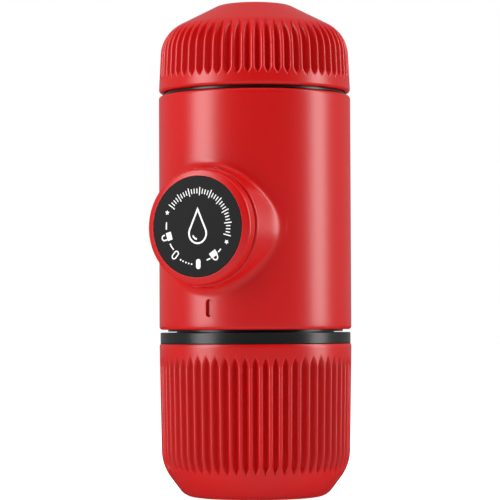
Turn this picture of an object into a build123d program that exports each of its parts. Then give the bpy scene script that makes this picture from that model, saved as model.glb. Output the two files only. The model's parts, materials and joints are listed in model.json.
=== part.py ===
from build123d import *

import math
import os

# Handheld manual espresso maker, stored upright: water tank below, pump body in the middle,
# drinking cup on top. Millimetres, +Z up the main axis, pump button towards -Y.
# The origin is the centre of the tank's flat base.

os.makedirs("parts", exist_ok=True)

# ---------------------------------------------------------------- clearances
running_gap = 0.05      # radial, a shaft or seal in its bore
fit_gap = 0.1           # radial, two pieces pushed together for good
free_gap = 0.3          # between pieces that move past each other
past = 1.0              # how far a cut or a joined form runs past its face

# ---------------------------------------------------------------- stack along Z
tank_height = 48.3      # red tank shell
collar_height = 3.6     # dark ring above it
lower_seam = 0.9        # groove between ring and body
body_height = 74.2
upper_seam = 1.1        # groove between body and cup
cup_height = 27.9

collar_bottom_z = tank_height
collar_top_z = collar_bottom_z + collar_height
body_bottom_z = collar_top_z + lower_seam
body_top_z = body_bottom_z + body_height
cup_rim_z = body_top_z + upper_seam
cup_top_z = cup_rim_z + cup_height

# ---------------------------------------------------------------- body and boss
body_radius = 30.5
body_wall = 2.2
body_inner = body_radius - body_wall
edge_round = 1.0        # rounded ends of the body and rim of the cup

boss_radius = 17.9      # at its face
boss_rise = 1.9         # its face stands this far outside the body
boss_reach = body_radius + boss_rise
# Boss outline, as (depth behind the face, growth sideways, growth up and down)
boss_flare = (
    (0.0, 0.0, 0.0),
    (1.4, 0.25, 0.35),
    (3.1, 0.5, 0.6),
    (5.9, 1.05, 0.8),
    (8.9, 2.15, 0.95),
    (10.9, 3.5, 1.1),
    (13.9, 5.4, 1.3),
)

slot_length = 5.2       # index mark below the boss
slot_width = 1.7
slot_depth = 0.45
slot_rise = 6.7         # from the body's lower end to its middle

# ---------------------------------------------------------------- flutes
flute_count = 60
flute_radius = 1.28     # of the ball-nosed groove
flute_sink = 1.0        # depth below the outside
flute_lift = flute_radius - flute_sink
flute_out = flute_radius + 0.15     # distance at which the groove has left the surface
draft_ease = 0.1        # the drafted wall has fallen back this far where a groove fades in
shoulder_ease = 0.15    # and this far inside its corner where it turns the shoulder
tank_flute_turn = 4.0   # degrees from -Y to the first groove on the tank
tank_flute_top = 4.2    # smooth band below the tank's rim
cup_flute_start = 4.2   # smooth band above the cup's rim
flute_run = 3.0         # length over which a groove fades in

# ---------------------------------------------------------------- pump
stroke = 14.0
knob_turn = 43.0        # degrees from locked to unlocked
knob_radius = 17.85
knob_rise = 5.1         # face of the button above the boss
knob_front = boss_reach + knob_rise
knob_crown = 0.83       # the rim falls back by this much
knob_crown_round = 0.8
knob_back_round = 0.3
face_radius = 15.5
face_thickness = 1.2
knob_plate = 3.3        # thickness behind the face
skirt_radius = 16.25
skirt_wall = 2.25
lug_count = 3
lug_angle = 24.0
lug_height = 0.8
lug_length = 3.5
lip_length = 1.4        # stops the lugs at the end of the stroke
track_margin = 1.5      # degrees at each end of the turn
track_gap = 0.25        # radial, round the lugs
guide_wall = 0.65       # round the tracks
guide_margin = 0.7      # behind the lugs of the locked button
guide_root = 1.5        # the tube ends this far inside the body's outside

bore_radius = 6.5
cylinder_wall = 2.5
rod_radius = 4.0
head_length = 6.4
port_inset = 12.3       # from the body's inside to the water ports, behind the piston
port_y = body_inner - port_inset
port_radius = 1.5
port_margin = 0.4       # between the ports and the piston, fully home
barrel_wall = 3.9
barrel_end_wall = 0.2   # behind the outlet valve's boss
barrel_front = 12.0     # front face of the barrel, from the main axis
cylinder_radius = bore_radius + cylinder_wall
barrel_bore = cylinder_radius + fit_gap
barrel_radius = barrel_bore + barrel_wall

# ---------------------------------------------------------------- tank and spigot
tank_wall = 2.4
liner_wall = 1.5
collar_inset = 0.3
mouth_step = 1.2        # the mouth is this much inside the liner's wall
mouth_radius = body_radius - tank_wall - fit_gap - liner_wall - mouth_step
mouth_depth = 9.4
spigot_plate = 2.8
spigot_wall = 2.7
spigot_length = 9.0
tank_taper = 8.54       # the foot's corner is this much inside the body's radius
tank_draft = 0.63       # and the shoulder's corner this much
tank_shoulder_z = 10.35
tank_foot_round = 6.3
tank_shoulder_round = 14.5
rim_round = 0.4
collar_round = 0.3
mouth_ledge = 1.0       # slope below the mouth
deck_recess = 1.0       # deck above the body's lower end

# ---------------------------------------------------------------- brew head and outlet head
deck_thickness = 4.2
deck_skin = 1.0         # deck left over the hollow spigot
neck_inset = 2.7        # lower neck inside the body's radius
head_neck_inset = 1.7   # and the upper one
neck_radius = body_radius - neck_inset
head_neck_radius = body_radius - head_neck_inset
deck_radius = body_inner - fit_gap
brew_depth = 22.0       # of the brew head's underside below the body's end
socket_drop = 0.3       # socket's rim below the body's end
socket_wall = 2.3
socket_radius = deck_radius - socket_wall
head_collar_radius = socket_radius - free_gap
head_collar_wall = 1.7
basket_flange = head_collar_radius - head_collar_wall - free_gap - fit_gap
basket_lip = 2.6        # width of its flange
basket_radius = basket_flange - basket_lip
basket_steel = 0.6
basket_depth = 17.0
basket_round = 1.2
flange_thickness = 0.8
gasket_height = 2.9
seat_rise = 9.6         # gasket seat above the brew head's underside
screen_rise = 1.4       # shower screen above the gasket seat
shower_recess = 0.6     # water space below the gasket seat
under_depth = 5.0       # hollow under the brew head
cup_wall = 2.6

# ---------------------------------------------------------------- outlet valve and pump height
valve_boss_radius = 5.6
valve_bore = 3.3
valve_floor_wall = 1.1  # between the barrel's bore and the outlet valve
seat_thickness = 1.5
ball_radius = 2.5
valve_room = 2.2        # for the spring, between ball and nipple
nipple_length = 3.6
nipple_insert = 1.4     # of it, inside the brew head

# The brew head hangs from the body's upper end, and the outlet valve stands below it on the
# barrel, so the pump's axis follows from that end.
brew_deck_z = body_top_z - brew_depth
nipple_top_z = brew_deck_z + nipple_insert
nipple_bottom_z = nipple_top_z - nipple_length
ball_z = nipple_bottom_z - running_gap - valve_room - ball_radius
seat_top_z = ball_z - math.sqrt(ball_radius**2 - port_radius**2) - running_gap
valve_floor_z = seat_top_z - seat_thickness
pump_z = valve_floor_z - valve_floor_wall - barrel_bore
barrel_back = port_y + valve_boss_radius + barrel_end_wall


# ---------------------------------------------------------------- helpers
def turned_section(*corners, radii=None, plane=Plane.XZ):
    """Closed half section through corners given as (radius, place along the axis)."""
    with BuildSketch(plane) as section:
        with BuildLine():
            if radii:
                FilletPolyline(*corners, radius=radii, close=True)
            else:
                Polyline(*corners, close=True)
        make_face()
    return section.sketch


def moved_in(corners, distance):
    """The same open outline with every side moved to its left by a distance.

    An outline that goes round the axis anticlockwise has its inside on the left.
    """
    points = [Vector(*corner) for corner in corners]
    sides = [(b - a).normalized() for a, b in zip(points, points[1:])]
    normals = [Vector(-side.Y, side.X) for side in sides]
    result = [points[0] + normals[0] * distance]
    for point, before, after in zip(points[1:], normals, normals[1:]):
        result.append(point + (before + after) * (distance / (1 + before.dot(after))))
    result.append(points[-1] + normals[-1] * distance)
    return [(point.X, point.Y) for point in result]


def flute_cutter(route):
    """Round groove cutter swept upward along a route in the XZ plane."""
    with BuildPart() as cutter:
        with BuildLine(Plane.XZ) as path:
            Polyline(*route)
        with BuildSketch(Plane(origin=path.line @ 0, z_dir=path.line % 0)):
            Circle(flute_radius)
        sweep(path=path.line, transition=Transition.RIGHT)
    return cutter.part


def spring(wire_radius, mean_radius, start, end, turns, foot, direction):
    """Round-wire coil whose wire lies between two places along its axis."""
    height = end - start - 2 * wire_radius
    direction = Vector(*direction)
    middle = Vector(*foot) + direction * (start + wire_radius)
    with BuildPart() as coil:
        with BuildLine() as path:
            Helix(height / turns, height, mean_radius, center=middle, direction=direction)
        with BuildSketch(Plane(origin=path.line @ 0, z_dir=path.line % 0)):
            Circle(wire_radius)
        sweep(path=path.line, is_frenet=True)
    return coil.part


# Frames of the pump: its axis runs level, towards the button.
knob_plane = Plane(origin=(0, 0, pump_z), x_dir=(1, 0, 0), z_dir=(0, -1, 0))
pump_section = Plane(origin=(0, 0, pump_z), x_dir=(1, 0, 0), z_dir=(0, 0, -1))
pump_axis = Axis((0, 0, pump_z), (0, -1, 0))

# ---------------------------------------------------------------- water tank
tank_foot_radius = body_radius - tank_taper
tank_shoulder_radius = body_radius - tank_draft
tank_outline = (
    (0, 0),
    (tank_foot_radius, 0),
    (tank_shoulder_radius, tank_shoulder_z),
    (body_radius, tank_height),
)
tank_inside = moved_in(tank_outline, tank_wall)
flute_drop = 5.8        # groove's lower end below the shoulder's corner
flute_lean = 1.65       # and inside it
flute_bend = 6.1        # groove's corner above the shoulder's corner
with BuildPart() as tank_shell:
    revolve(
        turned_section(
            *tank_outline,
            (tank_inside[3][0], tank_height),
            *reversed(tank_inside[:3]),
            radii=(0, tank_foot_round, tank_shoulder_round, rim_round, 0,
                   tank_shoulder_round - tank_wall, tank_foot_round - tank_wall, 0),
        ),
        axis=Axis.Z,
    )
    # The groove is pointed at both ends: it runs out on the shoulder and below the rim.
    shoulder_x = tank_shoulder_radius + flute_lift + shoulder_ease
    tank_flute = flute_cutter((
        (shoulder_x - flute_lean, tank_shoulder_z - flute_drop),
        (shoulder_x, tank_shoulder_z + flute_bend),
        (body_radius + flute_lift - draft_ease, tank_height - tank_flute_top - flute_run),
        (body_radius + flute_out, tank_height - tank_flute_top),
    ))
    with PolarLocations(0, flute_count, start_angle=-90 + tank_flute_turn):
        add(tank_flute, mode=Mode.SUBTRACT)

liner_outline = moved_in(tank_outline, tank_wall + fit_gap)
liner_inside = moved_in(tank_outline, tank_wall + fit_gap + liner_wall)
mouth_bottom_z = collar_top_z - mouth_depth
collar_radius = body_radius - collar_inset
with BuildPart() as tank_liner:
    liner_foot_round = tank_foot_round - tank_wall - fit_gap
    liner_shoulder_round = tank_shoulder_round - tank_wall - fit_gap
    revolve(
        turned_section(
            *liner_outline[:3],
            (liner_outline[3][0], collar_bottom_z),
            (collar_radius, collar_bottom_z),
            (collar_radius, collar_top_z),
            (mouth_radius, collar_top_z),
            (mouth_radius, mouth_bottom_z),
            (liner_inside[3][0], mouth_bottom_z - mouth_ledge),
            *reversed(liner_inside[:3]),
            radii=(0, liner_foot_round, liner_shoulder_round, 0,
                   collar_round, collar_round, collar_round, 0, 0,
                   liner_shoulder_round - liner_wall, liner_foot_round - liner_wall, 0),
        ),
        axis=Axis.Z,
    )

# ---------------------------------------------------------------- body shell
lug_reach = boss_reach - lip_length - free_gap - stroke     # front of the lugs, knob locked
skirt_end = lug_reach - lug_length
guide_end = skirt_end - guide_margin
knob_bore = skirt_radius + running_gap
lug_radius = skirt_radius + lug_height
track_radius = lug_radius + track_gap
guide_radius = track_radius + guide_wall

with BuildPart() as lug_track:
    revolve(
        turned_section(
            (knob_bore - past, guide_end - past),
            (track_radius, guide_end - past),
            (track_radius, boss_reach - lip_length),
            (knob_bore - past, boss_reach - lip_length),
        ),
        axis=Axis.Z,
        revolution_arc=lug_angle + knob_turn + 2 * track_margin,
    )

with BuildPart() as body_shell:
    revolve(
        turned_section(
            (0, body_bottom_z),
            (body_radius, body_bottom_z),
            (body_radius, body_top_z),
            (0, body_top_z),
            radii=(0, edge_round, edge_round, 0),
        ),
        axis=Axis.Z,
    )
    for depth, sideways, upright in boss_flare:
        with BuildSketch(knob_plane.offset(boss_reach - depth)):
            Ellipse(boss_radius + sideways, boss_radius + upright)
    loft()
    with BuildSketch(Plane.XY.offset(body_bottom_z)):
        Circle(body_inner)
    extrude(amount=body_height, mode=Mode.SUBTRACT)
    # Guide tube behind the boss, with the bore for the button and three lug tracks
    with BuildSketch(knob_plane.offset(guide_end)):
        Circle(guide_radius)
    extrude(amount=body_radius - guide_root - guide_end)
    with BuildSketch(knob_plane.offset(guide_end - past)):
        Circle(knob_bore)
    extrude(amount=boss_reach, mode=Mode.SUBTRACT)
    with Locations(knob_plane):
        with PolarLocations(0, lug_count, start_angle=-90 - lug_angle / 2 - track_margin):
            add(lug_track.part, mode=Mode.SUBTRACT)
    with BuildSketch(Plane.XZ.offset(body_radius - slot_depth)):
        with Locations((0, body_bottom_z + slot_rise)):
            SlotOverall(slot_length, slot_width, rotation=90)
    extrude(amount=slot_depth + past, mode=Mode.SUBTRACT)

# ---------------------------------------------------------------- chassis
spigot_radius = mouth_radius - free_gap
neck_bottom_z = collar_top_z + free_gap
spigot_bottom_z = neck_bottom_z - spigot_length
plate_top_z = spigot_bottom_z + spigot_plate
deck_bottom_z = body_bottom_z + deck_recess
deck_top_z = deck_bottom_z + deck_thickness
deck_hole = 12.0

ring_section = 1.7      # tank O-ring
ring_rise = 1.55        # its middle above the spigot's plate
ring_z = plate_top_z + ring_rise
groove_radius = mouth_radius - running_gap - ring_section - running_gap
groove_half = ring_section / 2 + fit_gap

plate_gap = 18.0        # between the two side plates
plate_thickness = 2.2
plate_setback = 2.5     # behind the guide tube's end
plate_front = guide_end - plate_setback
screw_head_radius = 2.3
screw_head_height = 1.8
screw_radius = 1.2
screw_length = 18.0
screw_angles = (-10.0, 44.0, 136.0, 190.0)      # degrees from +X
screw_circle = socket_radius - screw_head_radius - free_gap - fit_gap
screw_posts = [
    (screw_circle * math.cos(math.radians(angle)), screw_circle * math.sin(math.radians(angle)))
    for angle in screw_angles
]
post_radius = 3.2

tube_radius = 2.5       # suction tube
tube_bore = 1.6
filter_radius = 4.0
filter_thickness = 0.8
vent_y = -15.0
vent_stem = 1.4

inlet_wall = 2.0        # between the suction tube and the barrel's bore
tube_top_z = pump_z - barrel_bore - inlet_wall

with BuildPart() as chassis:
    # Deck, neck and hollow spigot that plugs the mouth of the tank
    revolve(
        turned_section(
            (0, spigot_bottom_z),
            (spigot_radius, spigot_bottom_z),
            (spigot_radius, ring_z - groove_half),
            (groove_radius, ring_z - groove_half),
            (groove_radius, ring_z + groove_half),
            (spigot_radius, ring_z + groove_half),
            (spigot_radius, neck_bottom_z),
            (neck_radius, neck_bottom_z),
            (neck_radius, deck_bottom_z),
            (deck_radius, deck_bottom_z),
            (deck_radius, deck_top_z),
            (deck_hole, deck_top_z),
            (deck_hole, deck_bottom_z + deck_skin),
            (spigot_radius - spigot_wall, deck_bottom_z + deck_skin),
            (spigot_radius - spigot_wall, plate_top_z),
            (0, plate_top_z),
        ),
        axis=Axis.Z,
    )
    # Barrel for the pump cylinder, on two side plates
    with BuildSketch(knob_plane.offset(-barrel_back)):
        Circle(barrel_radius)
    extrude(amount=barrel_back + barrel_front)
    plate_height = brew_deck_z - fit_gap - deck_top_z
    plate_y = (barrel_back - plate_front) / 2
    with BuildSketch(Plane.XY.offset(deck_top_z)):
        with Locations((-plate_gap / 2, plate_y), (plate_gap / 2, plate_y)):
            Rectangle(plate_thickness, barrel_back + plate_front)
        with Locations(*screw_posts):
            Circle(post_radius)
    extrude(amount=plate_height)
    # Boss above the back of the barrel for the outlet valve
    with BuildSketch(Plane.XY.offset(pump_z)):
        with Locations((0, port_y)):
            Circle(valve_boss_radius)
    extrude(amount=brew_deck_z - fit_gap - pump_z)
    with BuildSketch(knob_plane.offset(-barrel_back - past)):
        Circle(barrel_bore)
    extrude(amount=barrel_back + barrel_front + 2 * past, mode=Mode.SUBTRACT)
    with BuildSketch(Plane.XY.offset(brew_deck_z)):
        with Locations((0, port_y)):
            Circle(valve_bore)
    extrude(amount=valve_floor_z - brew_deck_z, mode=Mode.SUBTRACT)
    # Water ways: filter pocket, valve chamber and tube sockets, all on one vertical line
    with BuildSketch(Plane.XY.offset(spigot_bottom_z)):
        with Locations((0, port_y)):
            Circle(filter_radius + fit_gap)
    extrude(amount=filter_thickness, mode=Mode.SUBTRACT)
    with BuildSketch(Plane.XY.offset(spigot_bottom_z)):
        with Locations((0, port_y)):
            Circle(tube_radius + fit_gap)
    extrude(amount=tube_top_z + fit_gap - spigot_bottom_z, mode=Mode.SUBTRACT)
    with BuildSketch(Plane.XY.offset(tube_top_z)):
        with Locations((0, port_y)):
            Circle(port_radius)
    extrude(amount=valve_floor_z + past - tube_top_z, mode=Mode.SUBTRACT)
    with BuildSketch(Plane.XY.offset(spigot_bottom_z)):
        with Locations((0, vent_y)):
            Circle(vent_stem + fit_gap)
    extrude(amount=spigot_plate, mode=Mode.SUBTRACT)
    with BuildSketch(Plane.XY.offset(brew_deck_z)):
        with Locations(*screw_posts):
            Circle(screw_radius + running_gap)
    extrude(amount=-screw_length, mode=Mode.SUBTRACT)

# ---------------------------------------------------------------- brew head
seat_z = brew_deck_z + seat_rise
screen_z = seat_z + screen_rise
screen_inset = 1.5      # inside the basket's radius
screen_radius = basket_radius - screen_inset
screen_thickness = 0.8
screen_ledge = 0.9
under_recess = 12.0
recess_top_z = brew_deck_z + under_depth
screen_screw_radius = 1.5
screen_screw_head = 3.0
screen_screw_length = 4.8
screen_screw_rise = 1.3     # of its head above the screen

with BuildPart() as brew_head:
    revolve(
        turned_section(
            (0, recess_top_z),
            (under_recess, recess_top_z),
            (under_recess, brew_deck_z),
            (deck_radius, brew_deck_z),
            (deck_radius, body_top_z - socket_drop),
            (socket_radius, body_top_z - socket_drop),
            (socket_radius, seat_z),
            (screen_radius + free_gap, seat_z),
            (screen_radius + free_gap, screen_z),
            (screen_radius - screen_ledge, screen_z),
            (screen_radius - screen_ledge, seat_z - shower_recess),
            (screen_screw_head, seat_z - shower_recess),
            (screen_screw_head, screen_z),
            (0, screen_z),
        ),
        axis=Axis.Z,
    )
    with BuildSketch(Plane.XY.offset(brew_deck_z)):
        with Locations((0, port_y)):
            Circle(valve_bore)
    extrude(amount=nipple_top_z + fit_gap - brew_deck_z, mode=Mode.SUBTRACT)
    with BuildSketch(Plane.XY.offset(brew_deck_z)):
        with Locations((0, port_y)):
            Circle(port_radius)
    extrude(amount=seat_z - brew_deck_z, mode=Mode.SUBTRACT)
    with BuildSketch(Plane.XY.offset(screen_z)):
        Circle(screen_screw_radius + running_gap)
    extrude(amount=-screen_screw_length, mode=Mode.SUBTRACT)
    with Locations(*[(x, y, seat_z) for x, y in screw_posts]):
        CounterBoreHole(
            radius=screw_radius + fit_gap,
            counter_bore_radius=screw_head_radius + fit_gap,
            counter_bore_depth=screw_head_height + free_gap,
        )

with BuildPart() as chassis_screws:
    head_z = seat_z - free_gap - screw_head_height
    with BuildSketch(Plane.XY.offset(head_z)):
        with Locations(*screw_posts):
            Circle(screw_head_radius)
    extrude(amount=screw_head_height)
    with BuildSketch(Plane.XY.offset(head_z)):
        with Locations(*screw_posts):
            Circle(screw_radius)
    extrude(amount=-screw_length)

# ---------------------------------------------------------------- pump
with BuildPart() as pump_cylinder:
    flange_rise = 1.8
    flange_radius = cylinder_radius + flange_rise
    flange_length = 1.5
    revolve(
        turned_section(
            (bore_radius, fit_gap - barrel_back),
            (cylinder_radius, fit_gap - barrel_back),
            (cylinder_radius, barrel_front),
            (flange_radius, barrel_front),
            (flange_radius, barrel_front + flange_length),
            (bore_radius, barrel_front + flange_length),
            plane=pump_section,
        ),
        axis=pump_axis,
    )
    with BuildSketch(Plane.XY.offset(pump_z - cylinder_radius)):
        with Locations((0, port_y)):
            Circle(port_radius)
    extrude(amount=2 * cylinder_radius, mode=Mode.SUBTRACT)

cylinder_front = barrel_front + flange_length
with BuildPart() as cylinder_gland:
    gland_depth = 3.5
    gland_lip = 0.8
    gland_flange = 1.5
    gland_rim = bore_radius + gland_flange
    revolve(
        turned_section(
            (rod_radius + running_gap, cylinder_front - gland_depth),
            (bore_radius - fit_gap, cylinder_front - gland_depth),
            (bore_radius - fit_gap, cylinder_front),
            (gland_rim, cylinder_front),
            (gland_rim, cylinder_front + gland_lip),
            (rod_radius + running_gap, cylinder_front + gland_lip),
            plane=pump_section,
        ),
        axis=pump_axis,
    )

with BuildPart() as cylinder_cap:
    cap_thickness = 2.5
    cap_plug = 1.2
    cap_inset = 1.0
    cap_radius = barrel_radius - cap_inset
    revolve(
        turned_section(
            (0, -barrel_back - cap_thickness),
            (cap_radius, -barrel_back - cap_thickness),
            (cap_radius, -barrel_back),
            (bore_radius - fit_gap, -barrel_back),
            (bore_radius - fit_gap, cap_plug - barrel_back),
            (0, cap_plug - barrel_back),
            plane=pump_section,
        ),
        axis=pump_axis,
    )

knob_back = boss_reach + free_gap
face_back = knob_front - face_thickness
plate_back = face_back - knob_plate
with BuildPart() as knob_lug:
    revolve(
        turned_section(
            (skirt_radius - past, skirt_end),
            (lug_radius, skirt_end),
            (lug_radius, skirt_end + lug_length),
            (skirt_radius - past, skirt_end + lug_length),
        ),
        axis=Axis.Z,
        revolution_arc=lug_angle,
    )

with BuildPart() as knob_shell:
    revolve(
        turned_section(
            (skirt_radius - skirt_wall, skirt_end),
            (skirt_radius, skirt_end),
            (skirt_radius, knob_back),
            (knob_radius, knob_back),
            (knob_radius, knob_front - knob_crown),
            (face_radius + running_gap, knob_front),
            (face_radius + running_gap, face_back),
            (0, face_back),
            (0, plate_back),
            (skirt_radius - skirt_wall, plate_back),
            radii=(0, 0, 0, knob_back_round, knob_crown_round, 0, 0, 0, 0, 0),
            plane=pump_section,
        ),
        axis=pump_axis,
    )
    with Locations(knob_plane):
        with PolarLocations(0, lug_count, start_angle=-90 - lug_angle / 2):
            add(knob_lug.part)
    knob_screw_radius = 1.5
    knob_screw_head = 2.8
    knob_head_depth = 1.7
    with Locations(knob_plane.offset(face_back)):
        CounterBoreHole(
            radius=knob_screw_radius + fit_gap,
            counter_bore_radius=knob_screw_head + fit_gap,
            counter_bore_depth=knob_head_depth,
        )

with BuildPart() as knob_face:
    with BuildSketch(knob_plane.offset(face_back)):
        Circle(face_radius)
    extrude(amount=face_thickness)
    face_chamfer = 0.15
    chamfer(knob_face.edges().group_by(Axis.Y)[0], face_chamfer)

head_front = port_y - port_radius - port_margin     # end of the piston head, behind the main axis
seal_groove = 2.6
seal_back = head_front - (head_length - seal_groove) / 2
with BuildPart() as piston_rod:
    head_radius = bore_radius - free_gap
    seal_root_step = 0.6
    seal_root = rod_radius + seal_root_step
    revolve(
        turned_section(
            (0, -head_front),
            (head_radius, -head_front),
            (head_radius, -seal_back),
            (seal_root, -seal_back),
            (seal_root, seal_groove - seal_back),
            (head_radius, seal_groove - seal_back),
            (head_radius, head_length - head_front),
            (rod_radius, head_length - head_front),
            (rod_radius, plate_back),
            (0, plate_back),
            plane=pump_section,
        ),
        axis=pump_axis,
    )
    screw_depth = 8.0
    with BuildSketch(knob_plane.offset(plate_back)):
        Circle(knob_screw_radius + running_gap)
    extrude(amount=-screw_depth, mode=Mode.SUBTRACT)

with BuildPart() as knob_screw:
    with BuildSketch(knob_plane.offset(face_back - knob_head_depth)):
        Circle(knob_screw_head)
    extrude(amount=knob_head_depth - fit_gap)
    screw_tip = plate_back - screw_depth + free_gap
    with BuildSketch(knob_plane.offset(screw_tip)):
        Circle(knob_screw_radius)
    extrude(amount=face_back - knob_head_depth - screw_tip)

with BuildPart() as piston_seal:
    revolve(
        turned_section(
            (seal_root + running_gap, running_gap - seal_back),
            (bore_radius - running_gap, running_gap - seal_back),
            (bore_radius - running_gap, seal_groove - running_gap - seal_back),
            (seal_root + running_gap, seal_groove - running_gap - seal_back),
            plane=pump_section,
        ),
        axis=pump_axis,
    )

with BuildPart() as return_spring:
    spring_wire = 0.6
    spring_turns = 5
    spring_mean = (flange_radius + skirt_radius - skirt_wall) / 2
    add(
        spring(
            spring_wire, spring_mean, barrel_front + fit_gap, plate_back - fit_gap,
            spring_turns, (0, 0, pump_z), (0, -1, 0),
        )
    )

# ---------------------------------------------------------------- water way
with BuildPart() as inlet_filter:
    with BuildSketch(Plane.XY.offset(spigot_bottom_z)):
        with Locations((0, port_y)):
            Circle(filter_radius)
    extrude(amount=filter_thickness)

with BuildPart() as inlet_valve:
    valve_disc = 0.8
    valve_slack = 0.2
    with BuildSketch(Plane.XY.offset(spigot_bottom_z + filter_thickness + valve_slack)):
        with Locations((0, port_y)):
            Circle(tube_radius - valve_slack)
    extrude(amount=valve_disc)

with BuildPart() as suction_tube:
    tube_bottom_z = spigot_bottom_z + filter_thickness + valve_disc + 2 * valve_slack
    with BuildSketch(Plane.XY.offset(tube_bottom_z)):
        with Locations((0, port_y)):
            Circle(tube_radius)
            Circle(tube_bore, mode=Mode.SUBTRACT)
    extrude(amount=tube_top_z - tube_bottom_z)

with BuildPart() as vent_valve:
    umbrella_radius = 3.2
    umbrella_thickness = 0.8
    barb_height = 1.0
    barb_rise = 0.5
    with BuildSketch(Plane.XY.offset(spigot_bottom_z - umbrella_thickness)):
        with Locations((0, vent_y)):
            Circle(umbrella_radius)
    extrude(amount=umbrella_thickness)
    with BuildSketch(Plane.XY.offset(spigot_bottom_z)):
        with Locations((0, vent_y)):
            Circle(vent_stem)
    extrude(amount=spigot_plate)
    with BuildSketch(Plane.XY.offset(plate_top_z)):
        with Locations((0, vent_y)):
            Circle(vent_stem + barb_rise)
    extrude(amount=barb_height)

valve_axis = Axis((0, port_y, 0), (0, 0, 1))
valve_section = Plane(origin=(0, port_y, 0), x_dir=(1, 0, 0), z_dir=(0, -1, 0))
with BuildPart() as valve_seat:
    revolve(
        turned_section(
            (port_radius, valve_floor_z),
            (valve_bore - running_gap, valve_floor_z),
            (valve_bore - running_gap, seat_top_z),
            (port_radius, seat_top_z),
            plane=valve_section,
        ),
        axis=valve_axis,
    )

with BuildPart() as valve_ball:
    with Locations((0, port_y, ball_z)):
        Sphere(ball_radius)

with BuildPart() as delivery_nipple:
    revolve(
        turned_section(
            (port_radius, nipple_bottom_z),
            (valve_bore - running_gap, nipple_bottom_z),
            (valve_bore - running_gap, nipple_top_z),
            (port_radius, nipple_top_z),
            plane=valve_section,
        ),
        axis=valve_axis,
    )

with BuildPart() as valve_spring:
    valve_wire = 0.2
    valve_mean = 2.0
    valve_turns = 3
    add(
        spring(
            valve_wire, valve_mean, ball_z + ball_radius, nipple_bottom_z - running_gap,
            valve_turns, (0, port_y, 0), (0, 0, 1),
        )
    )

# ---------------------------------------------------------------- brewing chamber
screen_rings = ((7.0, 6), (13.5, 12))   # radius and number of holes
screen_hole = 0.8
with BuildPart() as shower_screen:
    with BuildSketch(Plane.XY.offset(screen_z)):
        Circle(screen_radius)
        Circle(screen_screw_radius + fit_gap, mode=Mode.SUBTRACT)
        for ring_radius, hole_count in screen_rings:
            with PolarLocations(ring_radius, hole_count):
                Circle(screen_hole, mode=Mode.SUBTRACT)
    extrude(amount=screen_thickness)

with BuildPart() as shower_screw:
    screen_top_z = screen_z + screen_thickness
    with BuildSketch(Plane.XY.offset(screen_top_z)):
        Circle(screen_screw_head)
    extrude(amount=screen_screw_rise)
    with BuildSketch(Plane.XY.offset(screen_top_z)):
        Circle(screen_screw_radius)
    extrude(amount=free_gap - screen_screw_length)

gasket_step = 0.2       # between the screen's recess and the gasket
gasket_inner = screen_radius + free_gap + gasket_step
gasket_outer = basket_flange + free_gap
gasket_top_z = seat_z + gasket_height
with BuildPart() as brew_gasket:
    revolve(
        turned_section(
            (gasket_inner, seat_z),
            (gasket_outer, seat_z),
            (gasket_outer, gasket_top_z),
            (gasket_inner, gasket_top_z),
        ),
        axis=Axis.Z,
    )

basket_bottom_z = gasket_top_z + free_gap
basket_top_z = basket_bottom_z + basket_depth
with BuildPart() as filter_basket:
    revolve(
        turned_section(
            (basket_radius - basket_steel, basket_bottom_z),
            (basket_flange, basket_bottom_z),
            (basket_flange, basket_bottom_z + flange_thickness),
            (basket_radius, basket_bottom_z + flange_thickness),
            (basket_radius, basket_top_z),
            (0, basket_top_z),
            (0, basket_top_z - basket_steel),
            (basket_radius - basket_steel, basket_top_z - basket_steel),
            radii=(0, 0, 0, 0, basket_round, 0, 0, basket_round - basket_steel),
        ),
        axis=Axis.Z,
    )

scoop_radius = gasket_inner - 2 * free_gap
scoop_wall = 1.2
scoop_round = 1.5
scoop_bottom_z = screen_z + screen_thickness + free_gap
scoop_top_z = basket_top_z - basket_steel - free_gap
with BuildPart() as scoop:
    revolve(
        turned_section(
            (scoop_radius - scoop_wall, scoop_bottom_z),
            (scoop_radius, scoop_bottom_z),
            (scoop_radius, scoop_top_z),
            (0, scoop_top_z),
            (0, scoop_top_z - scoop_wall),
            (scoop_radius - scoop_wall, scoop_top_z - scoop_wall),
            radii=(0, 0, scoop_round, 0, 0, scoop_round - scoop_wall),
        ),
        axis=Axis.Z,
    )

# ---------------------------------------------------------------- outlet head
bowl_inner = basket_radius + free_gap + fit_gap
bowl_wall = 1.4
bowl_top_wall = 1.8     # round the upper part of the bowl
web_drop = 2.0          # web between bowl and collar, below the flange
web_thickness = 0.8
bowl_bottom_z = basket_bottom_z + flange_thickness + free_gap
collar_inner = head_collar_radius - head_collar_wall
head_collar_bottom_z = bowl_bottom_z - free_gap - fit_gap
flange_bottom_z = body_top_z + free_gap
flange_top_z = cup_rim_z - free_gap
cup_skirt_radius = body_radius - cup_wall - free_gap
cup_skirt_height = 5.2
cup_skirt_top_z = flange_top_z + cup_skirt_height
cup_skirt_wall = 1.6
cup_skirt_inner = cup_skirt_radius - cup_skirt_wall
bowl_top_z = basket_top_z + free_gap
funnel_rise = 3.8
nozzle_radius = 4.1
nozzle_boss_radius = 6.2
funnel_wall = 2.1
funnel_shoulder = 1.6
nozzle_shoulder = 0.6
nozzle_depth = 4.5
nozzle_seat_z = bowl_top_z + funnel_rise + funnel_wall
nozzle_boss_top_z = nozzle_seat_z + nozzle_depth
spout_radius = 2.0

head_ring_section = 1.05
head_ring_rise = 2.8    # its middle above the collar's end
head_ring_z = head_collar_bottom_z + head_ring_rise
head_groove_radius = socket_radius - 2 * running_gap - head_ring_section
head_groove_half = head_ring_section / 2 + fit_gap

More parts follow.
